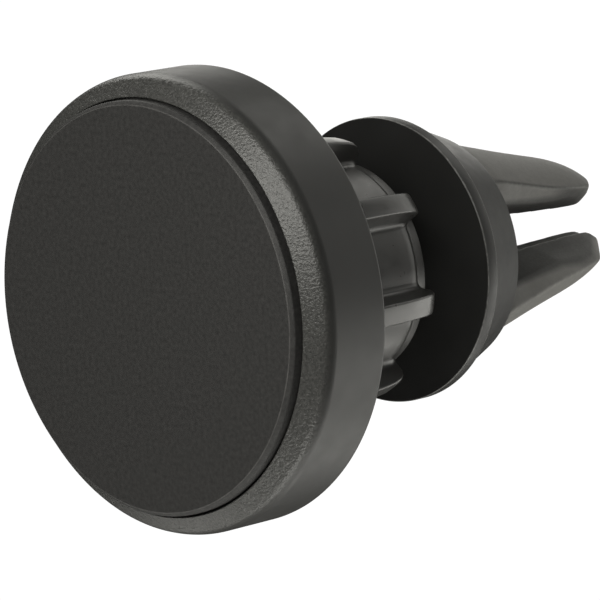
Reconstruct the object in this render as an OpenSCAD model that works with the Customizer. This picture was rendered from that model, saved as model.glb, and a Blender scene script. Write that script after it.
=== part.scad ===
// Magnetic car phone mount that clips onto the blade of an air vent.
// Millimetres. The origin is the centre of the pad's front face.
// +Y runs back along the axis to the vent, +Z is up, +X is to the right.

/* [Head] */
// Outer diameter of the round head
head_d = 42; // [42:0.5:46]
// Depth of the head, from the pad's face to the rear rim
head_depth = 9.5; // [9.5:0.1:9.9]
// Thickness of the rubber pad
pad_t = 1.2; // [1:0.1:1.2]
// Thickness of the adhesive disc behind the pad
adhesive_t = 0.2; // [0.1:0.05:0.25]
// Thickness of the housing's side wall
wall_t = 1.3; // [1.1:0.1:1.3]
// Number of magnets in the ring
magnet_count = 6; // [4:1:6]
// Diameter of one magnet
magnet_d = 8; // [6:0.5:8]
// Number of screws that hold the rear cover
screw_count = 4; // [3:1:5]

/* [Ball joint] */
// Distance from the pad's face to the centre of the ball
ball_y = 19; // [19:0.1:19.3]
// Diameter of the ball
ball_d = 12; // [11.8:0.1:12]
// Diameter of the stem behind the ball
stem_d = 6; // [5:0.25:6]
// Radial play between the ball and the pieces that ride on it
ball_play = 0.05; // [0.03:0.01:0.08]

/* [Lock nut] */
// Distance from the pad's face to the front end of the nut
nut_y0 = 10.6; // [10.5:0.1:11]
// Distance from the pad's face to the rear end of the nut
nut_y1 = 26.3; // [26:0.1:26.5]
// Diameter over the grip ribs at their highest
nut_d = 26.2; // [25:0.2:27]
// Diameter of the floor between the ribs
nut_floor_d = 21; // [20.6:0.2:22]
// Number of grip ribs
rib_count = 8; // [6:1:12]
// Width of one rib
rib_w = 2.2; // [1.6:0.1:3]
// Radial play of the nut on the threaded neck
thread_play = 0.05; // [0.03:0.01:0.1]

/* [Vent clip] */
// Distance from the pad's face to the front of the stop flange
flange_y = 31.05; // [31:0.05:31.5]
// Diameter of the stop flange
flange_d = 27; // [26:0.5:30]
// Thickness of the stop flange
flange_t = 1.35; // [1.2:0.05:1.5]
// Distance from the pad's face to the rear edge of the collar
collar_y1 = 37.9; // [37.8:0.1:38.2]
// Half of the gap between the left and right jaws
split_half = 0.55; // [0.4:0.05:0.8]
// Half of the gap for the vent blade, where the jaws leave the collar
blade_half = 3.5; // [3.2:0.1:3.6]
// Angle at which the blade gap closes towards the tips, in degrees
blade_taper = 4.9; // [4.5:0.1:5.2]

/* [Hidden] */
$fn = 96;
far = 60;                                   // size of a cutting block, larger than any piece

head_r = head_d / 2;
front_y = 1.05;                             // front land of the housing, around the pad
front_r = head_r - 1.95;                    // outer edge of that land
pad_r = head_r - 2.15;
pad_bevel = [0.35, 0.41];                   // bevel of the pad's rim, along Y and across
floor_y = pad_t + adhesive_t;               // floor of the pad's recess
inner_y = floor_y + 1;                      // inside of the front wall
cover_y0 = 7.6;                             // inside of the rear cover
cover_y1 = head_depth - 0.2;
cavity_r = head_r - wall_t;

magnet_r = magnet_d / 2;
magnet_ring_r = 10.4;
magnet_t = 2.8;
magnet_skin = 0.3;                          // carrier left in front of each magnet
yoke_y = inner_y + magnet_skin + magnet_t;
yoke_t = 1;
yoke_r = 15.2;
carrier_y1 = yoke_y + yoke_t;

boss_ring_r = cavity_r - 2.1;
boss_r = 2.2;
screw_r = 0.8;
screw_head_r = 1.6;
screw_head_t = 0.8;
screw_y0 = 4;

ball_r = ball_d / 2;
stem_r = stem_d / 2;
shell_in_r = ball_r + ball_play;            // liner and seat cup, both on the ball
shell_out_r = shell_in_r + 0.45;
socket_r = shell_out_r + 2 * ball_play;
neck_r = 8.6;
collet_y0 = ball_y + 0.8;                   // where the neck starts to taper
collet_y1 = ball_y + 3.3;
collet_r1 = 6.9;
slit_w = 1.2;
slit_y0 = 14.5;

rib_turn = -11.7;                           // where the first rib stands, from +X towards +Z
rib_end = 1.2;                              // ribs stop this far before the nut's rear end
bore_r = neck_r + thread_play;
ring_y0 = ball_y + 1.6;
ring_y1 = ball_y + 4.3;

flange_r = flange_d / 2;
base_y = flange_y + flange_t;
base_y1 = base_y + 1.8;
base_r = 10.7;
spigot_r = 2.2;
stud_screw_r = 1;
stud_screw_y0 = 27.6;
stud_head = [2, 1.4];                       // radius and height of the stud screw's head

jaw_angle = 60;                             // direction in which a jaw opens, from +X to +Z
pivot = [35.9, 6.8];                        // pivot line of a jaw: along Y, out from the axis
bead_r = 0.8;
bead_play = 0.05;
knuckle_w = 4.2;
core_w = 2.4;
jaw_y0 = pivot[0] + 0.7;
jaw_outline = [[jaw_y0, 10.3], [collar_y1, 10.3], [45, 8.6], [53.6, 6.5], [56, 5.6],
    [58, 4.7], [59.4, 3.7], [60.4, 2.6], [60.8, 1.7]];
core_outline = [[jaw_y0, 5.3], [jaw_y0, 8.2], [46, 6.9], [53, 5.6], [53, 4.4], [46, 4.7]];
side_point = [4.87, 46.2, 2.79];            // a point on the slanted side of a jaw
side_turn = [0, 46.7, 8.7];                 // how that side leans out and closes to the tip

// A body of revolution about the Y axis, from [y, radius] points.
module turned(points) {
    rotate([-90, 0, 0]) rotate_extrude() polygon([for (p = points) [p[1], p[0]]]);
}

// A round bar about the Y axis, from y0 to y1.
module bar(y0, y1, r) {
    translate([0, y0, 0]) rotate([-90, 0, 0]) cylinder(h = y1 - y0, r = r);
}

// Children moved out to radius r, in count places round the Y axis, the first at angle a.
module ring(count, r, a = 0) {
    for (i = [0 : count - 1]) rotate([0, -a - i * 360 / count, 0]) translate([r, 0, 0]) children();
}

// A band of a hollow ball, between two angles from the +Y pole.
module ball_band(from_angle, to_angle) {
    reach = 2 * shell_out_r;
    translate([0, ball_y, 0]) rotate([-90, 0, 0]) rotate_extrude() intersection() {
        difference() {
            circle(r = shell_out_r);
            circle(r = shell_in_r);
        }
        polygon([[0, 0], reach * [sin(from_angle), cos(from_angle)],
            reach * [sin(to_angle), cos(to_angle)]]);
    }
}

// ---- head ----

module face_pad() {
    color([0.2, 0.2, 0.2]) turned([[0, 0], [0, pad_r - pad_bevel[1]], [pad_bevel[0], pad_r],
        [pad_t, pad_r], [pad_t, 0]]);
}

module pad_adhesive() {
    color([0.7, 0.7, 0.68]) bar(pad_t, floor_y, pad_r - 0.4);
}

module head_housing() {
    edge = 0.35;
    color([0.16, 0.16, 0.16]) {
        difference() {
            turned([[floor_y, 0], [floor_y, pad_r + 0.1], [front_y, pad_r + 0.1],
                [front_y, front_r], [front_y + 1.1, head_r - 0.3], [front_y + 1.5, head_r - 0.06],
                [front_y + 2, head_r], [head_depth - edge, head_r], [head_depth, head_r - edge],
                [head_depth, cavity_r], [inner_y, cavity_r], [inner_y, 0]]);
        }
        difference() {
            ring(screw_count, boss_ring_r, 45) bar(inner_y, cover_y0, boss_r);
            ring(screw_count, boss_ring_r, 45) bar(screw_y0, cover_y0 + 1, screw_r);
        }
    }
}

module magnet_carrier() {
    color([0.85, 0.84, 0.8]) difference() {
        bar(inner_y, carrier_y1, cavity_r - 0.3);
        ring(magnet_count, magnet_ring_r) bar(inner_y + magnet_skin, yoke_y + 1, magnet_r);
        bar(yoke_y, carrier_y1 + 1, yoke_r + 0.1);
        ring(screw_count, boss_ring_r, 45) bar(inner_y - 1, carrier_y1 + 1, boss_r + 0.1);
    }
}

module magnets() {
    color([0.75, 0.76, 0.78]) ring(magnet_count, magnet_ring_r)
        bar(inner_y + magnet_skin, yoke_y, magnet_r);
}

module yoke_plate() {
    hole_r = 2;
    color([0.6, 0.6, 0.62]) difference() {
        bar(yoke_y, carrier_y1, yoke_r);
        bar(yoke_y - 1, carrier_y1 + 1, hole_r);
    }
}

module rear_cover() {
    fillet = 0.8;
    color([0.14, 0.14, 0.14]) difference() {
        turned([[carrier_y1, 0], [carrier_y1, 6], [cover_y0, 6], [cover_y0, cavity_r - 0.1],
            [cover_y1, cavity_r - 0.1], [cover_y1, neck_r + fillet], [cover_y1 + fillet, neck_r],
            [collet_y0, neck_r], [collet_y1, collet_r1], [collet_y1, 0]]);
        translate([0, ball_y, 0]) sphere(r = socket_r);
        for (a = [45, 135]) rotate([0, a, 0])
            translate([-far / 2, slit_y0, -slit_w / 2]) cube([far, far, slit_w]);
        ring(screw_count, boss_ring_r, 45) {
            bar(cover_y0 - 1, cover_y1 + 1, screw_r + 0.1);
            bar(cover_y1 - screw_head_t, cover_y1 + 1, screw_head_r + 0.1);
        }
    }
}

module cover_screws() {
    head_y = cover_y1 - screw_head_t;
    drive_r = 0.7;
    color([0.3, 0.3, 0.31]) ring(screw_count, boss_ring_r, 45) difference() {
        union() {
            bar(screw_y0, head_y, screw_r);
            bar(head_y, cover_y1, screw_head_r);
        }
        translate([0, cover_y1 - screw_head_t / 2, 0]) rotate([-90, 0, 0])
            cylinder(h = screw_head_t, r = drive_r, $fn = 6);
    }
}

// ---- ball joint ----

module seat_cup() {
    color([0.88, 0.87, 0.82]) ball_band(141, 180);
}

module ball_liner() {
    color([0.9, 0.89, 0.85]) ball_band(75, 115);
}

module ball_stud() {
    color([0.45, 0.45, 0.46]) difference() {
        union() {
            translate([0, ball_y, 0]) sphere(r = ball_r);
            bar(ball_y, flange_y, stem_r);
            bar(flange_y - 1, base_y1 - 0.1, spigot_r);
        }
        bar(stud_screw_y0, base_y1 + 1, stud_screw_r);
    }
}

// ---- lock nut ----

module pressure_ring() {
    gap = 0.06;
    slope = (neck_r - collet_r1) / (collet_y1 - collet_y0);
    color([0.82, 0.81, 0.77]) turned([[ring_y0, neck_r - slope * (ring_y0 - collet_y0) + gap],
        [ring_y0, neck_r - gap], [ring_y1, neck_r - gap], [ring_y1, 6.1],
        [collet_y1 + gap, 6.1], [collet_y1 + gap, collet_r1 + gap]]);
}

module lock_nut() {
    lip_y = ring_y1 + 0.05;
    floor_r = nut_floor_d / 2;
    rib_r = nut_d / 2;
    rib_y1 = nut_y1 - rib_end;
    color([0.15, 0.15, 0.15]) difference() {
        union() {
            turned([[nut_y0, 0], [nut_y0, floor_r - 0.4], [nut_y0 + 0.4, floor_r],
                [nut_y1 - 0.9, floor_r], [nut_y1 - 0.3, floor_r - 0.15], [nut_y1, floor_r - 0.45],
                [nut_y1, 0]]);
            intersection() {
                turned([[nut_y0 + 0.4, 0], [nut_y0 + 0.4, rib_r - 0.6], [nut_y0 + 1, rib_r],
                    [17, rib_r], [rib_y1 - 1.2, rib_r - 0.5], [rib_y1 - 0.3, rib_r - 0.9],
                    [rib_y1, rib_r - 1.6], [rib_y1, 0]]);
                ring(rib_count, 0, rib_turn)
                    translate([bore_r + 0.4, nut_y0, -rib_w / 2]) cube([far, far, rib_w]);
            }
        }
        bar(nut_y0 - 1, lip_y, bore_r);
        turned([[lip_y - 1, 0], [lip_y - 1, 7], [nut_y1 - 1.4, 7.2], [nut_y1, 8],
            [nut_y1 + 1, 8.6], [nut_y1 + 1, 0]]);
    }
}

// ---- vent clip ----

module stop_flange() {
    edge = 0.25;
    color([0.1, 0.1, 0.1]) difference() {
        turned([[flange_y, 0], [flange_y, flange_r - edge], [flange_y + edge, flange_r],
            [base_y - edge, flange_r], [base_y, flange_r - edge], [base_y, 0]]);
        bar(flange_y - 1, base_y + 1, spigot_r);
    }
}

// Children drawn with +X out along the jaw's opening direction and +Z along its pivot line.
module jaw_frame() {
    rotate([0, -jaw_angle, 0]) children();
}

// Children copied from the upper right quarter to quarter k.
module quarter(k) {
    if (k == 0) children();
    if (k == 1) mirror([1, 0, 0]) children();
    if (k == 2) mirror([0, 0, 1]) children();
    if (k == 3) rotate([0, 180, 0]) children();
}

// A round bar along a jaw's pivot line.
module pivot_bar(r, w) {
    jaw_frame() translate([pivot[1], pivot[0], -w / 2]) cylinder(h = w, r = r);
}

module clip_base() {
    knuckle_t = 2.6;
    knuckle_y1 = pivot[0] + 0.4;
    color([0.2, 0.2, 0.21]) difference() {
        union() {
            bar(base_y, base_y1, base_r);
            for (k = [0 : 3]) quarter(k) jaw_frame()
                translate([pivot[1] - knuckle_t / 2, base_y1 - 1, -knuckle_w / 2])
                    cube([knuckle_t, knuckle_y1 - base_y1 + 1, knuckle_w]);
        }
        for (k = [0 : 3]) quarter(k) pivot_bar(bead_r + bead_play, knuckle_w + 1);
        bar(base_y - 1, base_y1 + 1, spigot_r);
    }
}

module clip_collar() {
    edge = 0.2;
    collar_r0 = flange_r - 0.35;
    collar_r1 = base_r + 0.4;
    color([0.17, 0.17, 0.17]) turned([[base_y, base_r], [base_y, collar_r0],
        [collar_y1 - edge, collar_r1], [collar_y1, collar_r1 - edge], [collar_y1, base_r]]);
}

module stud_screw() {
    drive_r = 1;
    color([0.65, 0.65, 0.67]) difference() {
        union() {
            bar(stud_screw_y0 + 0.4, base_y1, stud_screw_r);
            bar(base_y1, base_y1 + stud_head[1], stud_head[0] + 0.4);
        }
        translate([0, base_y1 + stud_head[1] / 2, 0]) rotate([-90, 0, 0])
            cylinder(h = stud_head[1], r = drive_r, $fn = 6);
    }
}

// The stiff finger inside the upper right jaw, with the bead that it pivots on.
module core_shape() {
    neck_t = 0.8;
    pivot_bar(bead_r, knuckle_w - 0.6);
    jaw_frame() {
        translate([pivot[1] - neck_t / 2, pivot[0], -core_w / 2])
            cube([neck_t, jaw_y0 - pivot[0] + 0.5, core_w]);
        translate([0, 0, -core_w / 2]) linear_extrude(core_w)
            polygon([for (p = core_outline) [p[1], p[0]]]);
    }
}

// The soft outer shape of the upper right jaw, before the finger is taken out of it.
module sleeve_shape() {
    gap_y = collar_y1;
    difference() {
        turned(concat([[jaw_y0, 0]], jaw_outline, [[60.8, 0]]));
        translate([split_half - far, 0, -far / 2]) cube([far, 2 * far, far]);
        translate([-far / 2, gap_y, blade_half]) rotate([-blade_taper, 0, 0])
            translate([0, -far, -far]) cube([far, 2 * far, far]);
        translate(side_point) rotate(side_turn) translate([0, -far, -far])
            cube([far, 2 * far, 2 * far]);
    }
}

module jaw_core(k) {
    color([0.3, 0.3, 0.32]) quarter(k) core_shape();
}

module jaw_sleeve(k) {
    color([0.35, 0.35, 0.35]) quarter(k) difference() {
        sleeve_shape();
        core_shape();
    }
}

module jaw_core_upper_right() { jaw_core(0); }
module jaw_core_upper_left() { jaw_core(1); }
module jaw_core_lower_right() { jaw_core(2); }
module jaw_core_lower_left() { jaw_core(3); }
module jaw_sleeve_upper_right() { jaw_sleeve(0); }
module jaw_sleeve_upper_left() { jaw_sleeve(1); }
module jaw_sleeve_lower_right() { jaw_sleeve(2); }
module jaw_sleeve_lower_left() { jaw_sleeve(3); }

face_pad();
pad_adhesive();
head_housing();
magnet_carrier();
magnets();
yoke_plate();
rear_cover();
cover_screws();
seat_cup();
ball_liner();
pressure_ring();
lock_nut();
ball_stud();
stop_flange();
clip_base();
clip_collar();
stud_screw();
jaw_core_upper_right();
jaw_core_upper_left();
jaw_core_lower_right();
jaw_core_lower_left();
jaw_sleeve_upper_right();
jaw_sleeve_upper_left();
jaw_sleeve_lower_right();
jaw_sleeve_lower_left();
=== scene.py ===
"""Looks of the magnetic phone mount.

Builds detailed pieces round the CAD frame, their finishes, and the studio. Pieces are shaped in
millimetres. Most are turned about the Y axis, which runs back from the pad to the vent.
"""

import math

import bmesh
import bpy
from bpy.props import FloatProperty, FloatVectorProperty, IntProperty, PointerProperty
from mathutils import Matrix, Vector


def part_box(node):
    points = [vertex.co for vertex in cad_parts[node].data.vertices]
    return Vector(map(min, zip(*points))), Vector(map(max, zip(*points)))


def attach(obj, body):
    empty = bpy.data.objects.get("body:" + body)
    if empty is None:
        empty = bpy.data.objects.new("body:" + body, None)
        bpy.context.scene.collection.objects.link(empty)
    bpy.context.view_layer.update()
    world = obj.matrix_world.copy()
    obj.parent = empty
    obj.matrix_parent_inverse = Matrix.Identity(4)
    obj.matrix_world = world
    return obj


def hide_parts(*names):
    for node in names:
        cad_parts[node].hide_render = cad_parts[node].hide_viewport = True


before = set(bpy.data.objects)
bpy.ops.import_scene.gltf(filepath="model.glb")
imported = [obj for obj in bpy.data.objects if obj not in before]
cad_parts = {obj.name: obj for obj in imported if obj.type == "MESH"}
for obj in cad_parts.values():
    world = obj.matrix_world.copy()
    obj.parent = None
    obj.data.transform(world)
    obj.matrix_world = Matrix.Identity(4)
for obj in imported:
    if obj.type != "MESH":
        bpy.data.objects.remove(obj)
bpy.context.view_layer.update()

bl_info = {
    "name": "Magnetic Vent Phone Mount",
    "version": (1, 0, 0),
    "blender": (4, 5, 0),
    "location": "View3D > Sidebar > Phone Mount",
    "description": "Builds the visible pieces of a magnetic phone mount with a vent clip",
    "category": "Object",
}

MM = 0.001  # pieces are shaped in millimetres, then brought to metres
BALL_CENTRE = 19.0  # along the axis
SCREW_CIRCLE = 17.6  # distance of the four cover screws from the axis
SCREW_TURN = 45  # degrees from the right to the first cover screw
JAWS = (
    ("upper_right", 1, 1),
    ("upper_left", -1, 1),
    ("lower_right", 1, -1),
    ("lower_left", -1, -1),
)


def reach(node):
    """Outer radius of a round CAD node, in metres."""
    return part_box(node)[1].x


# ---- sizes and colours a user may change ----


def length(name, description, default, low=0.0, high=0.05):
    return FloatProperty(
        name=name, description=description, default=default, min=low, max=high,
        unit="LENGTH", subtype="DISTANCE", precision=5,
    )


def colour(name, description, default):
    return FloatVectorProperty(
        name=name, description=description, default=default, min=0.0, max=1.0,
        size=3, subtype="COLOR",
    )


class MountSizes(bpy.types.PropertyGroup):
    """Sizes of the visible pieces"""

    head_radius: length("Head radius", "Outer radius of the round head", reach("head_housing"))
    head_edge: length("Head edge", "Rounding where the front slope meets the side wall", 0.00035)
    pad_edge: length("Pad edge", "Rounding of the rubber pad's rim", 0.0001)
    rib_count: IntProperty(
        name="Grip ribs", description="Number of grip ribs on the lock nut",
        default=8, min=4, max=12,
    )
    rib_edge: length("Rib edge", "Rounding along the grip ribs", 0.0002)
    flange_radius: length("Flange radius", "Radius of the stop flange", reach("stop_flange"))
    flange_edge: length("Flange edge", "Rounding of the stop flange's rim", 0.00014)
    jaw_softness: IntProperty(
        name="Jaw softness", description="Smoothing passes that round the rubber jaws",
        default=20, min=0, max=60,
    )
    split_half: length("Jaw split", "Half of the gap between left and right jaws", 0.00055)


class MountFinishes(bpy.types.PropertyGroup):
    """Colours and grain of the finishes"""

    pad: colour("Pad", "Rubber pad on the face", (0.022, 0.0215, 0.021))
    housing: colour("Housing", "Moulded plastic of the head", (0.021, 0.021, 0.020))
    nut: colour("Nut", "Lock nut", (0.034, 0.0335, 0.032))
    clip: colour("Clip", "Flange, collar and base of the clip", (0.018, 0.018, 0.0175))
    jaws: colour("Jaws", "Soft rubber over the jaws", (0.106, 0.104, 0.098))
    steel: colour("Steel", "Ball, screws and yoke", (0.56, 0.56, 0.57))
    nylon: colour("Nylon", "Natural nylon of the inner pieces", (0.74, 0.72, 0.66))
    grain: FloatProperty(
        name="Slope grain", description="Height of the moulded grain on the head's front slope",
        default=0.00008, min=0.0, max=0.0005, unit="LENGTH", precision=6,
    )
    light: FloatProperty(
        name="Light", description="Strength of all studio lights", default=1.0, min=0.0, max=5.0,
    )


# ---- modelling helpers ----


def alone(*objs):
    """Selects only these objects, in object mode."""
    if bpy.context.mode != "OBJECT":
        bpy.ops.object.mode_set(mode="OBJECT")
    bpy.ops.object.select_all(action="DESELECT")
    for o in objs:
        o.select_set(True)
    if objs:
        bpy.context.view_layer.objects.active = objs[-1]


def settle(obj):
    """Applies an object's place, turn and scale to its mesh."""
    alone(obj)
    bpy.ops.object.transform_apply(location=True, rotation=True, scale=True)


def edit(obj, how="FACE"):
    """Enters edit mode on one object with nothing selected."""
    alone(obj)
    bpy.ops.object.mode_set(mode="EDIT")
    bpy.ops.mesh.select_mode(type=how)
    bpy.ops.mesh.select_all(action="DESELECT")


def pick(obj, test, kind="faces"):
    """Selects the faces, edges or corners that pass the test, in edit mode."""
    mesh = bmesh.from_edit_mesh(obj.data)
    found = False
    for part in getattr(mesh, kind):
        if test(part):
            part.select_set(True)
            found = True
    mesh.select_flush_mode()
    bmesh.update_edit_mesh(obj.data)
    if not found:
        raise RuntimeError(f"{obj.name}: nothing to select")


def rounded(corners, steps=4):
    """The (y, radius) points of an outline whose third numbers round its corners."""
    points = []
    last = len(corners) - 1
    for i, corner in enumerate(corners):
        here = Vector(corner[:2])
        if len(corner) < 3 or i in (0, last):
            points.append(here)
            continue
        before, after = Vector(corners[i - 1][:2]), Vector(corners[i + 1][:2])
        start = here + (before - here).normalized() * corner[2]
        end = here + (after - here).normalized() * corner[2]
        for s in range(steps + 1):
            t = s / steps
            points.append(start.lerp(here, t).lerp(here.lerp(end, t), t))
    return points


def arc_about(centre, radius, angles):
    """Points of a ball's outline, at angles in degrees from its front."""
    return [
        Vector((centre - radius * math.cos(math.radians(a)), radius * math.sin(math.radians(a))))
        for a in angles
    ]


def turned(name, outline, sides=180):
    """A body turned about the Y axis.

    An outline of (y, radius) points that starts on the axis is solid, any other is a ring.
    """
    points = [Vector(p) for p in outline]
    solid = points[0].y == 0
    if solid:
        points = points[1:]
    else:
        points.append(points[0])
    alone()
    bpy.ops.mesh.primitive_circle_add(
        vertices=sides, radius=points[0].y, fill_type="NGON" if solid else "NOTHING",
        location=(0, points[0].x, 0), rotation=(-math.pi / 2, 0, 0),
    )
    obj = bpy.context.object
    obj.name = obj.data.name = name
    settle(obj)
    edit(obj, "VERT")
    bpy.ops.mesh.select_all(action="SELECT")
    for a, b in zip(points, points[1:]):
        bpy.ops.mesh.extrude_region_move(TRANSFORM_OT_translate={"value": (0, b.x - a.x, 0)})
        if b.y == 0:
            bpy.ops.mesh.merge(type="CENTER")
            break
        bpy.ops.transform.resize(value=(b.y / a.y, 1, b.y / a.y), center_override=(0, b.x, 0))
    clean(obj)
    return obj


def clean(obj):
    """Merges doubles and points the faces outwards."""
    edit(obj)
    bpy.ops.mesh.select_all(action="SELECT")
    bpy.ops.mesh.remove_doubles(threshold=0.0005)
    bpy.ops.mesh.normals_make_consistent(inside=False)
    bpy.ops.object.mode_set(mode="OBJECT")


def block(name, low, high):
    """A cutting block between two corners."""
    alone()
    low, high = Vector(low), Vector(high)
    bpy.ops.mesh.primitive_cube_add(size=1, location=(low + high) / 2, scale=high - low)
    obj = bpy.context.object
    obj.name = name
    settle(obj)
    return obj


def apply_modifier(obj, kind, **settings):
    """Adds a modifier, sets it and applies it."""
    alone(obj)
    bpy.ops.object.modifier_add(type=kind)
    modifier = obj.modifiers[-1]
    for key, value in settings.items():
        setattr(modifier, key, value)
    bpy.ops.object.modifier_apply(modifier=modifier.name)


def carve(obj, cutter, operation="DIFFERENCE"):
    """Cuts the cutter out of the object, or joins it on."""
    apply_modifier(obj, "BOOLEAN", operation=operation, solver="EXACT", object=cutter)
    bpy.data.objects.remove(cutter)


def ring_of(obj, count, first=0.0):
    """Copies of an object round the Y axis, each with its own mesh. The object is the first."""
    copies = []
    for i in range(count):
        copy = obj
        if i:
            alone(obj)
            bpy.ops.object.duplicate(linked=False)
            copy = bpy.context.object
        copies.append(copy)
    for i, copy in enumerate(copies):
        copy.rotation_euler = (0, -math.radians(first + i * 360 / count), 0)
        settle(copy)
    return copies


def joined(objs):
    """One object from several."""
    alone(*objs)
    bpy.ops.object.join()
    return bpy.context.object


def finish(obj, name, body, nodes, material, smooth=35):
    """Brings a piece to metres, shades it, gives it its finish and ties it to the frame."""
    clean(obj)
    obj.name = obj.data.name = name
    obj.scale = (MM, MM, MM)
    settle(obj)
    bpy.ops.object.shade_smooth_by_angle(angle=math.radians(smooth))
    apply_modifier(obj, "WEIGHTED_NORMAL", keep_sharp=True)
    obj.data.materials.clear()
    obj.data.materials.append(material)
    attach(obj, body)
    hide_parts(*nodes)


# ---- finishes ----


def add(tree, kind, inputs=None, **settings):
    """Adds a shader node. An input given as a socket is linked, any other is set."""
    node = tree.nodes.new(kind)
    for key, value in settings.items():
        setattr(node, key, value)
    for key, value in (inputs or {}).items():
        if isinstance(value, bpy.types.NodeSocket):
            tree.links.new(value, node.inputs[key])
        else:
            node.inputs[key].default_value = value
    return node


def new_material(name):
    """An empty node material with its shader, and the piece's own coordinates."""
    material = bpy.data.materials.new(name)
    material.use_nodes = True
    tree = material.node_tree
    tree.nodes.clear()
    shader = add(tree, "ShaderNodeBsdfPrincipled")
    output = add(tree, "ShaderNodeOutputMaterial")
    tree.links.new(shader.outputs["BSDF"], output.inputs["Surface"])
    place = add(tree, "ShaderNodeTexCoord").outputs["Object"]
    return material, tree, shader, place


def noise(tree, place, size, detail=2.0, rough=0.5):
    """A noise value whose features are about size millimetres across."""
    return add(
        tree, "ShaderNodeTexNoise",
        {"Vector": place, "Scale": 1 / (size * MM), "Detail": detail, "Roughness": rough},
    ).outputs["Fac"]


def spread(tree, value, low, high, start=0.3, end=0.7):
    """Maps a value from start..end to low..high."""
    return add(
        tree, "ShaderNodeMapRange",
        {"Value": value, "From Min": start, "From Max": end, "To Min": low, "To Max": high},
    ).outputs["Result"]


def tint(tree, factor, dark, light):
    """A colour between two shades."""
    mix = add(tree, "ShaderNodeMix", data_type="RGBA")
    tree.links.new(factor, mix.inputs["Factor"])
    mix.inputs[6].default_value = (*dark, 1)
    mix.inputs[7].default_value = (*light, 1)
    return mix.outputs[2]


def shade(rgb, factor):
    """A colour made paler or darker."""
    return tuple(min(1.0, c * factor) for c in rgb)


def moulded(
    name, rgb, rough=(0.35, 0.45), grain=0.25, depth=0.004, mottle=4.0, contrast=0.12,
    specular=0.5,
):
    """A moulded plastic or rubber: fine surface grain, soft mottling and uneven gloss."""
    material, tree, shader, place = new_material(name)
    broad = noise(tree, place, mottle, 3.0)
    fine = noise(tree, place, grain, 3.0, 0.6)
    tree.links.new(
        tint(tree, broad, shade(rgb, 1 - contrast), shade(rgb, 1 + contrast)),
        shader.inputs["Base Color"],
    )
    tree.links.new(
        spread(tree, noise(tree, place, mottle / 3, 4.0), *rough), shader.inputs["Roughness"]
    )
    bump = add(
        tree, "ShaderNodeBump",
        {"Strength": 1.0, "Distance": depth * MM, "Height": fine},
    )
    tree.links.new(bump.outputs["Normal"], shader.inputs["Normal"])
    shader.inputs["Specular IOR Level"].default_value = specular
    return material


def painted_highlight_line(material, rgb, factor, width, around=None, along=None):
    """Painted highlights: thin paler lines, at a distance from the Y axis or at a place along it,
    in millimetres.
    """
    tree = material.node_tree
    shader = next(n for n in tree.nodes if n.type == "BSDF_PRINCIPLED")
    place = next(n for n in tree.nodes if n.type == "TEX_COORD").outputs["Object"]
    if around is None:
        value = add(tree, "ShaderNodeSeparateXYZ", {"Vector": place}).outputs["Y"]
    else:
        flat = add(tree, "ShaderNodeVectorMath", {0: place, 1: (1, 0, 1)}, operation="MULTIPLY")
        value = add(
            tree, "ShaderNodeVectorMath", {0: flat.outputs[0]}, operation="LENGTH"
        ).outputs["Value"]
    at = along if around is None else around
    near = add(
        tree, "ShaderNodeMath", {0: value, 1: at * MM, 2: width * MM}, operation="COMPARE"
    ).outputs[0]
    patchy = spread(tree, noise(tree, place, 0.6, 3.0), 0.25, 1.0)
    amount = add(tree, "ShaderNodeMath", {0: near, 1: patchy}, operation="MULTIPLY").outputs[0]
    mix = add(tree, "ShaderNodeMix", data_type="RGBA")
    tree.links.new(amount, mix.inputs["Factor"])
    tree.links.new(shader.inputs["Base Color"].links[0].from_socket, mix.inputs[6])
    mix.inputs[7].default_value = (*shade(rgb, factor), 1)
    tree.links.new(mix.outputs[2], shader.inputs["Base Color"])


def metal(name, rgb, rough=(0.18, 0.32), grain=0.3, depth=0.001):
    """Turned or plated metal: fine brushed marks round the Y axis and uneven gloss."""
    material, tree, shader, place = new_material(name)
    stretched = add(
        tree, "ShaderNodeMapping", {"Vector": place, "Scale": (0.15, 1.0, 0.15)}
    ).outputs["Vector"]
    marks = noise(tree, stretched, grain, 4.0, 0.7)
    tree.links.new(
        tint(tree, marks, shade(rgb, 0.86), shade(rgb, 1.08)), shader.inputs["Base Color"]
    )
    tree.links.new(spread(tree, marks, *rough), shader.inputs["Roughness"])
    bump = add(
        tree, "ShaderNodeBump", {"Strength": 0.6, "Distance": depth * MM, "Height": marks}
    )
    tree.links.new(bump.outputs["Normal"], shader.inputs["Normal"])
    shader.inputs["Metallic"].default_value = 1.0
    return material


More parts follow.
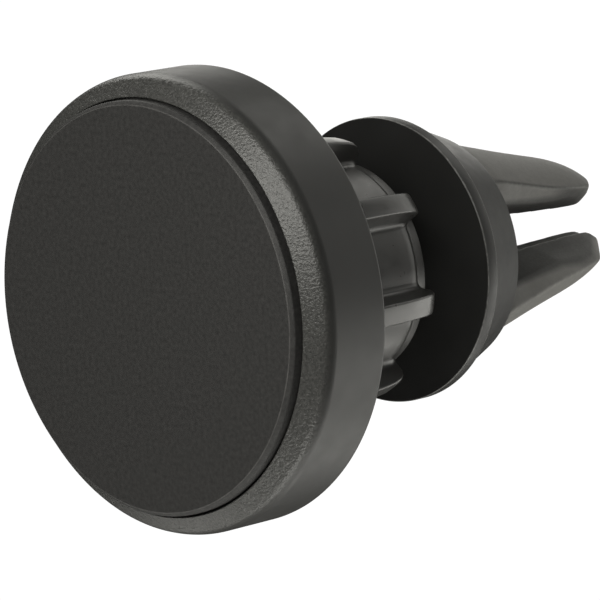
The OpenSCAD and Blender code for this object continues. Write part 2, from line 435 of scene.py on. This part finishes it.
def housing_finish(name, rgb, grain_height, slope=(2.1, 3.0)):
    """Moulded plastic with a coarse grain on the front slope that fades out on the side wall."""
    material, tree, shader, place = new_material(name)
    depth = add(tree, "ShaderNodeSeparateXYZ", {"Vector": place}).outputs["Y"]
    on_slope = add(
        tree, "ShaderNodeMapRange",
        {"Value": depth, "From Min": slope[0] * MM, "From Max": slope[1] * MM,
         "To Min": 1.0, "To Max": 0.0},
        interpolation_type="SMOOTHSTEP",
    ).outputs["Result"]
    coarse = noise(tree, place, 0.27, 2.0, 0.6)
    fine = noise(tree, place, 0.12, 2.0, 0.6)
    broad = noise(tree, place, 5.0, 3.0)
    wall = tint(tree, broad, shade(rgb, 0.9), shade(rgb, 1.1))
    paler = tint(tree, coarse, shade(rgb, 0.3), shade(rgb, 4.2))
    colour = add(tree, "ShaderNodeMix", data_type="RGBA")
    tree.links.new(on_slope, colour.inputs["Factor"])
    tree.links.new(wall, colour.inputs[6])
    tree.links.new(paler, colour.inputs[7])
    tree.links.new(colour.outputs[2], shader.inputs["Base Color"])
    wall_rough = spread(tree, noise(tree, place, 2.0, 4.0), 0.40, 0.48)
    rough = add(tree, "ShaderNodeMix", data_type="FLOAT")
    tree.links.new(on_slope, rough.inputs["Factor"])
    tree.links.new(wall_rough, rough.inputs[2])
    rough.inputs[3].default_value = 0.36
    tree.links.new(rough.outputs[0], shader.inputs["Roughness"])
    small = add(tree, "ShaderNodeBump", {"Strength": 0.5, "Distance": 0.004 * MM, "Height": fine})
    big = add(
        tree, "ShaderNodeBump",
        {"Strength": on_slope, "Distance": grain_height, "Height": coarse,
         "Normal": small.outputs["Normal"]},
    )
    tree.links.new(big.outputs["Normal"], shader.inputs["Normal"])
    return material


# ---- the pieces ----


class Build:
    """Shared by the operators: reaches the sizes and finishes."""

    bl_options = {"REGISTER", "UNDO"}

    @property
    def sizes(self):
        return bpy.context.scene.mount_sizes

    @property
    def finishes(self):
        return bpy.context.scene.mount_finishes


class MOUNT_OT_pad(Build, bpy.types.Operator):
    """Rubber pad on the face of the head, with a rounded rim"""

    bl_idname = "phone_mount.pad"
    bl_label = "Face Pad"

    def execute(self, context):
        edge = self.sizes.pad_edge / MM
        rim = reach("face_pad") / MM
        outline = rounded([
            (0, 0), (0, rim - 0.41, edge), (0.35, rim - 0.03, edge), (1.5, rim - 0.03), (1.5, 0),
        ])
        pad = turned("pad", outline)
        edit(pad)
        pick(pad, lambda f: len(f.verts) > 8 and f.normal.y < -0.9)
        bpy.ops.mesh.inset(thickness=0.8)
        bpy.ops.mesh.inset(thickness=6.0)
        bpy.ops.object.mode_set(mode="OBJECT")
        material = moulded(
            "pad_rubber", self.finishes.pad, rough=(0.58, 0.7), grain=0.16, depth=0.01,
            mottle=0.4, contrast=0.85,
        )
        # painted highlight: a thin pale line round the inner edge of the pad's rim bevel
        painted_highlight_line(material, self.finishes.pad, 3.2, 0.05, around=rim - 0.41)
        finish(pad, "pad_skin", "head", ["face_pad"], material, smooth=30)
        return {"FINISHED"}


class MOUNT_OT_housing(Build, bpy.types.Operator):
    """Round housing of the head: front slope, side wall, rear rim and screw posts"""

    bl_idname = "phone_mount.housing"
    bl_label = "Head Housing"

    def execute(self, context):
        r = self.sizes.head_radius / MM
        edge = self.sizes.head_edge / MM
        recess, inside, rear = r - 1.98, r - 1.3, 9.5
        outline = rounded([
            (1.6, 0), (1.6, recess), (1.05, recess, 0.04), (1.05, r - 1.9, 0.04),
            (2.2, r - 0.28, edge), (3.05, r, edge), (rear, r, 0.32), (rear, inside, 0.12),
            (2.6, inside, 0.4), (2.6, 0),
        ], steps=5)
        housing = turned("housing", outline, sides=240)
        post = turned("post", [(2.3, 0), (2.3, 2.2), (7.6, 2.2), (7.6, 0)], sides=32)
        hole = turned("hole", [(4, 0), (4, 0.8), (8, 0.8), (8, 0)], sides=24)
        carve(post, hole)
        edit(post)
        pick(post, lambda e: all(v.co.y > 7.55 for v in e.verts), "edges")
        bpy.ops.mesh.bevel(offset=0.12, segments=2)
        bpy.ops.object.mode_set(mode="OBJECT")
        post.location.x = SCREW_CIRCLE
        settle(post)
        posts = joined(ring_of(post, 4, SCREW_TURN))
        carve(housing, posts, "UNION")
        material = housing_finish("housing_black", self.finishes.housing, self.finishes.grain)
        finish(
            housing, "housing_shell", "head", ["head_housing"], material,
            smooth=32,
        )
        return {"FINISHED"}


class MOUNT_OT_rear_cover(Build, bpy.types.Operator):
    """Rear cover of the head with its slit neck and ball socket"""

    bl_idname = "phone_mount.rear_cover"
    bl_label = "Rear Cover"

    def execute(self, context):
        rim = reach("rear_cover") / MM
        socket = 6.6
        bowl = arc_about(BALL_CENTRE, socket, range(120, 4, -5))
        outline = rounded([
            (6.6, 0), (6.6, 6.0, 0.2), (7.6, 6.0), (7.6, rim), (9.3, rim, 0.3),
            (9.3, 15.2, 0.15), (9.1, 15.0, 0.1), (9.1, 14.4, 0.1), (9.3, 14.2, 0.15),
            (9.3, 8.6, 0.8), (19.8, 8.6, 0.3), (22.3, 6.9, 0.25), (22.3, 5.72),
        ])
        cover = turned("cover", outline + bowl + [Vector((BALL_CENTRE - socket, 0))])
        for turn in (45, 135):
            slit = block("slit", (-30, 14.5, -0.6), (30, 40, 0.6))
            slit.rotation_euler.y = math.radians(turn)
            carve(cover, slit)
        well = turned("well", rounded([
            (7, 0), (7, 0.9), (8.5, 0.9), (8.5, 1.7), (9.15, 1.7), (9.45, 2.0), (9.6, 2.0),
            (9.6, 0),
        ]), sides=40)
        well.location.x = SCREW_CIRCLE
        settle(well)
        carve(cover, joined(ring_of(well, 4, SCREW_TURN)))
        material = moulded(
            "cover_black", self.finishes.housing, rough=(0.42, 0.52), grain=0.14, depth=0.006
        )
        finish(cover, "cover_shell", "head", ["rear_cover"], material, smooth=32)
        return {"FINISHED"}


class MOUNT_OT_cover_screws(Build, bpy.types.Operator):
    """The four hex socket screws that hold the rear cover"""

    bl_idname = "phone_mount.cover_screws"
    bl_label = "Cover Screws"

    def execute(self, context):
        screw = turned("screw", rounded([
            (4, 0), (4, 0.5), (4.3, 0.8), (8.5, 0.8), (8.5, 1.6, 0.08), (9.3, 1.6, 0.25),
            (9.3, 0),
        ]), sides=48)
        alone()
        bpy.ops.mesh.primitive_cylinder_add(
            vertices=6, radius=0.7, depth=1.0, location=(0, 9.4, 0),
            rotation=(math.pi / 2, 0, 0),
        )
        carve(screw, bpy.context.object)
        edit(screw, "EDGE")
        pick(screw, lambda e: all(v.co.y > 9.25 for v in e.verts)
             and max(v.co.xz.length for v in e.verts) < 0.75, "edges")
        bpy.ops.mesh.bevel(offset=0.05, segments=2)
        bpy.ops.object.mode_set(mode="OBJECT")
        screw.location.x = SCREW_CIRCLE
        settle(screw)
        material = metal("screw_steel", shade(self.finishes.steel, 0.45), (0.3, 0.42))
        for i, copy in enumerate(ring_of(screw, 4, SCREW_TURN)):
            name = f"cover_screw_{i + 1}"
            finish(copy, name, "head", ["cover_screws"], material)
        return {"FINISHED"}


class MOUNT_OT_lock_nut(Build, bpy.types.Operator):
    """Ribbed lock nut that clamps the ball"""

    bl_idname = "phone_mount.lock_nut"
    bl_label = "Lock Nut"

    sides = 12  # of the turned floor, for each rib; a rib takes three of them
    rib_height = 2.62  # straight out of the floor
    foot = 0.6  # width of the fillet at a rib's foot
    turn = 11.7  # degrees that the nut is turned by, as it was left after tightening
    # slope of the ribs' tops: along the axis, change of height, change along the axis
    tops = (
        (11.2, -0.55, 0), (20.5, -0.06, 0), (22.6, -0.22, 0), (23.9, -0.42, 0.13),
        (24.5, -0.6, 0.28), (24.85, -0.85, 0.42), (25.05, -1.2, 0.45),
    )

    def execute(self, context):
        count = self.sizes.rib_count
        outline = rounded([
            (10.6, 8.65), (10.6, 10.5, 0.35), (11.2, 10.5), (11.8, 10.5), (14, 10.5), (17, 10.5),
            (20.5, 10.5), (22.6, 10.5), (23.9, 10.5), (24.5, 10.47), (24.85, 10.38),
            (25.05, 10.22), (25.2, 10.06), (26.3, 10.0, 0.06), (26.3, 8.2, 0.3),
            (24.9, 7.2, 0.2), (23.35, 7.0), (23.35, 8.65),
        ], steps=3)
        nut = turned("nut", outline, sides=count * self.sides)
        self.raise_ribs(nut, count)
        self.soften_ribs(nut)
        nut.rotation_euler.y = math.radians(self.turn + 90 - 180 / (count * self.sides))
        settle(nut)
        material = moulded(
            "nut_black", self.finishes.nut, rough=(0.27, 0.35), grain=0.2, depth=0.004,
            mottle=3.0, contrast=0.15, specular=0.55,
        )
        finish(nut, "nut_shell", "nut", ["lock_nut"], material, smooth=40)
        return {"FINISHED"}

    def raise_ribs(self, nut, count):
        """Extrudes each rib straight out of the nut's floor, then slopes its top and rear end."""
        step = 2 * math.pi / (count * self.sides)
        front, rear = self.tops[0][0], self.tops[-1][0]
        for i in range(count):
            middle = math.pi / 2 - step / 2 - i * 2 * math.pi / count
            out = Vector((math.cos(middle), 0, math.sin(middle)))

            def on_rib(part, low=10.0):
                c = part.co if hasattr(part, "co") else part.calc_center_median()
                flat = Vector((c.x, 0, c.z))
                return flat.length > low and flat.angle(out) < 1.7 * step

            edit(nut)
            pick(nut, lambda f: on_rib(f) and front < f.calc_center_median().y < rear)
            bpy.ops.mesh.extrude_region_move(
                TRANSFORM_OT_translate={"value": out * self.rib_height}
            )
            bpy.ops.mesh.select_mode(type="VERT")
            for y, drop, back in self.tops:
                bpy.ops.mesh.select_all(action="DESELECT")
                pick(nut, lambda v: on_rib(v, 11.6) and abs(v.co.y - y) < 0.01, "verts")
                bpy.ops.transform.translate(value=out * drop + Vector((0, back, 0)))

    def soften_ribs(self, nut):
        """Fills the ribs' feet and rounds their edges."""
        def along(edge):
            a, b = (v.co for v in edge.verts)
            return abs(a.y - b.y) > 0.7 * (a - b).length

        def foot(edge):
            return (len(edge.link_faces) == 2 and not edge.is_convex and along(edge)
                    and edge.calc_face_angle(0) > math.radians(40)
                    and all(10.1 < v.co.xz.length < 10.9 for v in edge.verts))

        def corner(edge):
            return (len(edge.link_faces) == 2 and edge.is_convex
                    and edge.calc_face_angle(0) > math.radians(35)
                    and all(v.co.xz.length > 11.3 for v in edge.verts))

        edit(nut, "EDGE")
        pick(nut, foot, "edges")
        bpy.ops.mesh.bevel(offset=self.foot, segments=4, clamp_overlap=False)
        bpy.ops.mesh.select_all(action="DESELECT")
        pick(nut, corner, "edges")
        bpy.ops.mesh.bevel(offset=self.sizes.rib_edge / MM, segments=3, clamp_overlap=True)


class MOUNT_OT_ball_stud(Build, bpy.types.Operator):
    """Ball and stem that carry the clip"""

    bl_idname = "phone_mount.ball_stud"
    bl_label = "Ball Stud"

    def execute(self, context):
        ball, stem = 6.0, 3.0
        arc = arc_about(BALL_CENTRE, ball, range(6, 150, 4))
        outline = [Vector((arc[0].x, 0))] + arc + rounded([
            arc[-1][:], (24.6, stem, 0.4), (30.0, stem, 0.5), (31.05, 3.6), (31.05, 2.2),
            (34.1, 2.2), (34.1, 1.0), (27.6, 1.0), (27.6, 0),
        ])[1:]
        stud = turned("stud", outline, sides=96)
        material = moulded(
            "stud_plastic", shade(self.finishes.clip, 2.4), rough=(0.26, 0.34), grain=0.3,
            depth=0.002,
        )
        finish(stud, "stud_body", "clip", ["ball_stud"], material, smooth=32)
        return {"FINISHED"}


class MOUNT_OT_flange(Build, bpy.types.Operator):
    """Stop flange that rests against the vent"""

    bl_idname = "phone_mount.flange"
    bl_label = "Stop Flange"

    def execute(self, context):
        r, edge = self.sizes.flange_radius / MM, self.sizes.flange_edge / MM
        outline = rounded([
            (31.05, 3.62), (31.05, r, edge), (32.4, r, edge), (32.4, 2.2), (31.05, 2.2),
        ])
        flange = turned("flange", outline, sides=240)
        material = moulded(
            "flange_black", shade(self.finishes.clip, 0.8), rough=(0.38, 0.46), grain=0.2,
            depth=0.003, mottle=6.0, specular=0.4,
        )
        # painted highlights: two thin pale lines along the front and rear edges of the rim
        for along in (31.13, 32.33):
            painted_highlight_line(material, self.finishes.clip, 9.0, 0.06, along=along)
        finish(flange, "flange_disc", "clip", ["stop_flange"], material, smooth=32)
        return {"FINISHED"}


class MOUNT_OT_collar(Build, bpy.types.Operator):
    """Tapered collar behind the flange"""

    bl_idname = "phone_mount.collar"
    bl_label = "Clip Collar"

    def execute(self, context):
        outline = rounded([
            (32.4, 10.7), (32.4, 13.15), (37.9, 11.1, 0.18), (37.9, 10.7, 0.1),
        ])
        collar = turned("collar", outline, sides=240)
        material = moulded(
            "clip_black", self.finishes.clip, rough=(0.42, 0.5), grain=0.16, depth=0.004
        )
        finish(collar, "collar_ring", "clip", ["clip_collar"], material, smooth=32)
        return {"FINISHED"}


def between(rows, along):
    """The values of a table at a place between its rows. The first column is the place."""
    for a, b in zip(rows, rows[1:]):
        if along <= b[0]:
            break
    t = max(0.0, min(1.0, (along - a[0]) / (b[0] - a[0])))
    return [u + (v - u) * t for u, v in zip(a[1:], b[1:])]


class MOUNT_OT_jaws(Build, bpy.types.Operator):
    """Soft rubber skins of the four vent jaws"""

    bl_idname = "phone_mount.jaws"
    bl_label = "Vent Jaws"

    # how far out the jaws reach along the axis
    outline = (
        (36.65, 10.3), (37.9, 10.25), (40, 9.81), (42, 9.3), (44, 8.82), (46, 8.33), (48, 7.87),
        (50, 7.43), (52, 7.0), (53.6, 6.62), (55, 6.2), (56, 5.85), (57, 5.42), (58, 4.9),
        (58.8, 4.38), (59.4, 3.85), (59.9, 3.2), (60.2, 2.5), (60.3, 1.7),
    )
    # the blade side: along the axis, its place beside the split, and its rise to the outside
    blade_side = (
        (36, 2.2, 0.0), (37.9, 2.25, 0.0), (38.5, 2.65, 0.04), (39.3, 2.9, 0.1),
        (40.3, 2.75, 0.17), (44, 1.95, 0.28), (47, 1.66, 0.3), (50.5, 1.4, 0.33),
        (53, 1.24, 0.40), (55.7, 1.08, 0.45), (57.5, 1.06, 0.42), (58.6, 1.15, 0.38),
        (59.5, 1.35, 0.34), (60.2, 1.6, 0.3), (62, 2.4, 0.3),
    )
    # the slanted side: along the axis, its place at height 0, its lean, and how far its inner
    # edge is cut back
    slant = (
        (36, 7.0, 0.01, 1.0), (41, 4.9, 0.40, 0.75), (44, 3.55, 0.60, 0.6),
        (47.4, 2.25, 0.88, 0.45), (51, 1.1, 1.13, 0.3), (54, 0.4, 1.26, 0.2),
        (56, 0.0, 1.24, 0.15), (57.5, -0.45, 1.2, 0.15), (59, -1.1, 1.15, 0.1),
        (60.2, -1.8, 1.1, 0.1), (61.5, -2.8, 1.05, 0.1),
    )
    # the moulded crease on the outside, where a line of shade is painted: along the axis, and its
    # angle above the right
    crease = ((38, 41.5), (42, 40.2), (46, 38.4), (50, 36.4), (54, 35.2), (58, 35.0))
    crease_width, crease_end = 0.22, 57.3
    # the painted shade on the blade side fades over this width, and ends this many widths above it
    blade_fade, blade_end = 0.35, 1.6
    root = 37.9  # where the jaws leave the collar
    half_gap, taper = 3.5, 0.0857  # half of the gap at the root, and how fast it narrows
    sheet = (-2.0, 14.0)  # how far the cutting sheets span across the axis
    tip_cut = 0.75
    voxel = 0.13
    lift = 0.25  # the jaws stand a little higher than the axis
    # the lower jaws reach a little further than the upper ones; their rubber is painted paler, a
    # painted light from below
    stretch = {1: 0.975, -1: 1.03}
    painted_light_tones = {1: ("jaw_rubber", 1.0), -1: ("jaw_rubber_lower", 1.4)}
    painted_shade_tone = 0.3  # of the painted shade on the blade side and along the crease
    stretch_from = 37
    extra_softness = 20  # smoothing passes on the lower jaws, which show no crease

    def execute(self, context):
        jaw = self.shape()
        finishes = {}
        for up, (name, tone) in self.painted_light_tones.items():
            finishes[up] = moulded(
                name, shade(self.finishes.jaws, tone), rough=(0.55, 0.66), grain=0.3,
                depth=0.004, mottle=0.8, contrast=0.14,
            )
            # painted shade on the blade side and along the crease
            self.paint_shade(finishes[up])
        for place, across, up in JAWS:
            alone(jaw)
            bpy.ops.object.duplicate(linked=False)
            skin = bpy.context.object
            if up < 0:
                skin.data.attributes.remove(skin.data.attributes["crease"])
                apply_modifier(skin, "SMOOTH", factor=0.5, iterations=self.extra_softness)
            stretch = self.stretch[up]
            skin.scale = (across, stretch, up)
            skin.location = (0, self.stretch_from * (1 - stretch), self.lift)
            settle(skin)
            finish(
                skin, f"jaw_skin_{place}", f"jaw_{place}",
                [f"jaw_sleeve_{place}"], finishes[up], smooth=60,
            )
        bpy.data.objects.remove(jaw)
        return {"FINISHED"}

    def paint_shade(self, material):
        """Paints shade on the blade side and along the crease, by the marks on the corners."""
        tree = material.node_tree
        colour = next(n for n in tree.nodes if n.type == "MIX").outputs[2]
        shader = next(n for n in tree.nodes if n.type == "BSDF_PRINCIPLED")
        for name in ("blade", "crease"):
            near = add(tree, "ShaderNodeAttribute", attribute_name=name).outputs["Fac"]
            mix = add(tree, "ShaderNodeMix", data_type="RGBA")
            tree.links.new(near, mix.inputs["Factor"])
            tree.links.new(colour, mix.inputs[6])
            mix.inputs[7].default_value = (*shade(self.finishes.jaws, self.painted_shade_tone), 1)
            colour = mix.outputs[2]
        tree.links.new(colour, shader.inputs["Base Color"])

    def shape(self):
        """The upper right jaw: a turned nose, cut on three sides and softened."""
        front, nose = self.outline[0][0], self.outline[-1][0]
        jaw = turned("jaw", [(front, 0)] + list(self.outline) + [(nose, 0)], sides=144)
        split = self.sizes.split_half / MM
        carve(jaw, block("split", (-30, 30, -30), (split, 70, 30)))
        rows = [[(x, y, z + x * rise) for x in self.sheet] for y, z, rise in self.blade_side]
        carve(jaw, self.slab("blade", rows, (0, 0, -40)))
        sides, edges = [], []
        for y, place, lean, cut in self.slant:
            height = self.half_gap - self.taper * (y - self.root)
            inner = place + lean * height
            sides.append((y, place, lean))
            edges.append((y, inner - cut - (lean + 1) * height, lean + 1))
        for lines in (sides, edges):
            rows = [[(place + lean * z, y, z) for z in self.sheet] for y, place, lean in lines]
            carve(jaw, self.slab("side", rows, (40, 0, 0)))
        self.blunt(jaw)
        apply_modifier(jaw, "REMESH", mode="VOXEL", voxel_size=self.voxel)
        apply_modifier(jaw, "SMOOTH", factor=0.5, iterations=self.sizes.jaw_softness)
        self.mark(jaw)
        return jaw

    def mark(self, jaw):
        """Notes on each corner how near it is to the blade side and to the crease, where shade is
        painted.
        """
        blade = jaw.data.attributes.new("blade", "FLOAT", "POINT")
        crease = jaw.data.attributes.new("crease", "FLOAT", "POINT")
        for v in jaw.data.vertices:
            x, y, z = v.co
            place, rise = between(self.blade_side, y)
            above = (z - place - x * rise) / self.blade_fade
            blade.data[v.index].value = max(0.0, min(1.0, self.blade_end - above))
            angle, = between(self.crease, y)
            radius = math.hypot(x, z)
            off = (math.atan2(z, x) - math.radians(angle)) * radius
            ends = min(1.0, max(0.0, (self.crease_end - y) / 2), max(0.0, radius - 2.6))
            crease.data[v.index].value = max(0.0, 1 - abs(off) / self.crease_width) * ends

    def blunt(self, jaw):
        """Cuts the very tip off with a face that looks back and to the right."""
        end = max(v.co.x + v.co.y for v in jaw.data.vertices) - self.tip_cut
        cutter = block("tip", (0, -60, -20), (20, 60, 20))
        cutter.rotation_euler.z = math.radians(45)
        cutter.location = cutter.location + Vector((end / 2, end / 2, 0))
        settle(cutter)
        carve(jaw, cutter)

    def slab(self, name, rows, way):
        """A twisted sheet through rows of two points, thickened one way."""
        mesh = bpy.data.meshes.new(name)
        faces = [(i, i + 1, i + 3, i + 2) for i in range(0, 2 * len(rows) - 2, 2)]
        mesh.from_pydata([point for row in rows for point in row], [], faces)
        obj = bpy.data.objects.new(name, mesh)
        bpy.context.scene.collection.objects.link(obj)
        edit(obj)
        bpy.ops.mesh.select_all(action="SELECT")
        bpy.ops.mesh.subdivide(number_cuts=6)
        bpy.ops.mesh.extrude_region_move(TRANSFORM_OT_translate={"value": way})
        clean(obj)
        return obj


class MOUNT_OT_inner_finishes(Build, bpy.types.Operator):
    """Finishes of the inner pieces that keep their CAD shape"""

    bl_idname = "phone_mount.inner_finishes"
    bl_label = "Inner Finishes"

    def execute(self, context):
        nylon = moulded(
            "nylon", self.finishes.nylon, rough=(0.36, 0.5), grain=0.2, depth=0.003, contrast=0.04
        )
        core = moulded("jaw_core_grey", shade(self.finishes.clip, 3.0), rough=(0.4, 0.5))
        given = {
            "pad_adhesive": moulded(
                "adhesive", (0.5, 0.48, 0.42), rough=(0.3, 0.6), grain=0.6, depth=0.01
            ),
            "magnet_carrier": nylon,
            "ball_liner": nylon,
            "seat_cup": nylon,
            "pressure_ring": nylon,
            "magnets": metal("magnet_nickel", (0.66, 0.64, 0.6), (0.12, 0.22)),
            "yoke_plate": metal("yoke_steel", shade(self.finishes.steel, 0.9), (0.3, 0.45)),
            "stud_screw": metal("stud_screw_steel", shade(self.finishes.steel, 0.5), (0.32, 0.45)),
            "clip_base": moulded(
                "clip_base_black", shade(self.finishes.clip, 1.2), rough=(0.4, 0.5), grain=0.2
            ),
        }
        for place, _, _ in JAWS:
            given[f"jaw_core_{place}"] = core
        for node, material in given.items():
            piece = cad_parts[node]
            piece.data.materials.clear()
            piece.data.materials.append(material)
        return {"FINISHED"}


# ---- the studio ----


class MOUNT_OT_stage(Build, bpy.types.Operator):
    """Pale floor, soft lights, white surround and the camera"""

    bl_idname = "phone_mount.stage"
    bl_label = "Studio"

    target = Vector((0.0, 0.01987, -0.00209))
    camera_place = (0.30467, -0.28278, 0.06143)
    camera_roll = -3.745  # degrees
    lens, sensor = 282, 36
    floor_height, floor_radius = -0.55, 1.6
    floor_glow = 0.8  # keeps the floor pale where the camera sees it
    seen_white, fill = 1.05, 0.03  # the surround, as the camera sees it and as a light
    light_distance, light_size = 0.32, 0.17
    light_colour = (1.0, 0.988, 0.93)
    # name, direction it comes from (right, up, towards the camera), power
    softboxes = (
        ("front", (-0.163, 0.342, 0.925), 0.487),
        ("front_left", (-0.604, 0.342, 0.720), 0.615),
        ("upper_left", (-0.321, 0.766, -0.557), 0.321),
        ("upper_right", (0.492, 0.766, -0.413), 0.145),
        ("back", (0.163, 0.342, -0.925), 0.155),
        ("right", (0.883, 0.342, -0.321), 0.160),
        ("lower_right", (0.908, -0.259, -0.330), 0.308),
        ("lower_left", (-0.557, -0.766, -0.321), 0.158),
        ("lower_back", (0.557, -0.766, -0.321), 0.252),
        ("below", (0.0, -0.985, 0.174), 0.445),
    )

    def execute(self, context):
        self.camera()
        self.floor()
        self.surround()
        self.lights()
        bpy.context.scene.view_settings.view_transform = "Standard"
        bpy.context.scene.view_settings.look = "None"
        return {"FINISHED"}

    def camera(self):
        data = bpy.data.cameras.new("camera")
        data.lens, data.sensor_width = self.lens, self.sensor
        data.clip_start, data.clip_end = 0.01, 50
        camera = bpy.data.objects.new("camera", data)
        camera.location = self.camera_place
        look = (self.target - camera.location).to_track_quat("-Z", "Y").to_matrix()
        roll = Matrix.Rotation(math.radians(self.camera_roll), 3, "Z")
        camera.rotation_euler = (look @ roll).to_euler()
        bpy.context.scene.collection.objects.link(camera)
        bpy.context.scene.camera = camera

    def floor(self):
        alone()
        bpy.ops.mesh.primitive_circle_add(
            vertices=96, radius=self.floor_radius, fill_type="NGON",
            location=(0, 0, self.floor_height),
        )
        floor = bpy.context.object
        floor.name = floor.data.name = "floor"
        settle(floor)
        white = moulded(
            "floor_white", (0.85, 0.85, 0.84), rough=(0.7, 0.8), grain=20.0, depth=0.1,
            mottle=300.0, contrast=0.02,
        )
        tree = white.node_tree
        seen = add(tree, "ShaderNodeLightPath").outputs["Is Camera Ray"]
        shader = next(n for n in tree.nodes if n.type == "BSDF_PRINCIPLED")
        shader.inputs["Emission Color"].default_value = (1, 1, 1, 1)
        tree.links.new(
            spread(tree, seen, 0.0, self.floor_glow, 0.0, 1.0),
            shader.inputs["Emission Strength"],
        )
        floor.data.materials.append(white)

    def surround(self):
        world = bpy.data.worlds.new("surround")
        world.use_nodes = True
        tree = world.node_tree
        tree.nodes.clear()
        seen = add(tree, "ShaderNodeLightPath").outputs["Is Camera Ray"]
        strength = spread(tree, seen, self.fill, self.seen_white, 0.0, 1.0)
        back = add(
            tree, "ShaderNodeBackground", {"Color": (1, 1, 1, 1), "Strength": strength}
        )
        output = add(tree, "ShaderNodeOutputWorld")
        tree.links.new(back.outputs["Background"], output.inputs["Surface"])
        bpy.context.scene.world = world

    def lights(self):
        """Square soft lights, placed by the camera's own right, up and back."""
        bpy.context.view_layer.update()
        turn = bpy.context.scene.camera.matrix_world.to_3x3()
        for name, way, power in self.softboxes:
            data = bpy.data.lights.new(name, "AREA")
            data.shape, data.size = "SQUARE", self.light_size
            data.energy = power * self.finishes.light
            data.color = self.light_colour
            light = bpy.data.objects.new(name, data)
            place = self.target + (turn @ Vector(way)).normalized() * self.light_distance
            light.location = place
            light.rotation_euler = (self.target - place).to_track_quat("-Z", "Y").to_euler()
            light.visible_camera = False
            bpy.context.scene.collection.objects.link(light)


STEPS = (
    MOUNT_OT_pad, MOUNT_OT_housing, MOUNT_OT_rear_cover, MOUNT_OT_cover_screws,
    MOUNT_OT_lock_nut, MOUNT_OT_ball_stud, MOUNT_OT_flange, MOUNT_OT_collar, MOUNT_OT_jaws,
    MOUNT_OT_inner_finishes, MOUNT_OT_stage,
)


class MOUNT_PT_panel(bpy.types.Panel):
    """Lists the sizes, finishes and pieces of the phone mount"""

    bl_idname = "MOUNT_PT_panel"
    bl_label = "Phone Mount"
    bl_space_type = "VIEW_3D"
    bl_region_type = "UI"
    bl_category = "Phone Mount"

    def draw(self, context):
        for title, group in (
            ("Sizes", context.scene.mount_sizes), ("Finishes", context.scene.mount_finishes),
        ):
            column = self.layout.column(align=True)
            column.label(text=title)
            for key in group.__annotations__:
                column.prop(group, key)
        column = self.layout.column(align=True)
        column.label(text="Pieces")
        for step in STEPS:
            column.operator(step.bl_idname)


CLASSES = (MountSizes, MountFinishes, *STEPS, MOUNT_PT_panel)


def register():
    for cls in CLASSES:
        bpy.utils.register_class(cls)
    bpy.types.Scene.mount_sizes = PointerProperty(type=MountSizes)
    bpy.types.Scene.mount_finishes = PointerProperty(type=MountFinishes)


def unregister():
    del bpy.types.Scene.mount_finishes
    del bpy.types.Scene.mount_sizes
    for cls in reversed(CLASSES):
        bpy.utils.unregister_class(cls)


def main():
    register()
    for step in STEPS:
        group, name = step.bl_idname.split(".")
        getattr(getattr(bpy.ops, group), name)()
    alone()


if __name__ == "__main__":
    main()
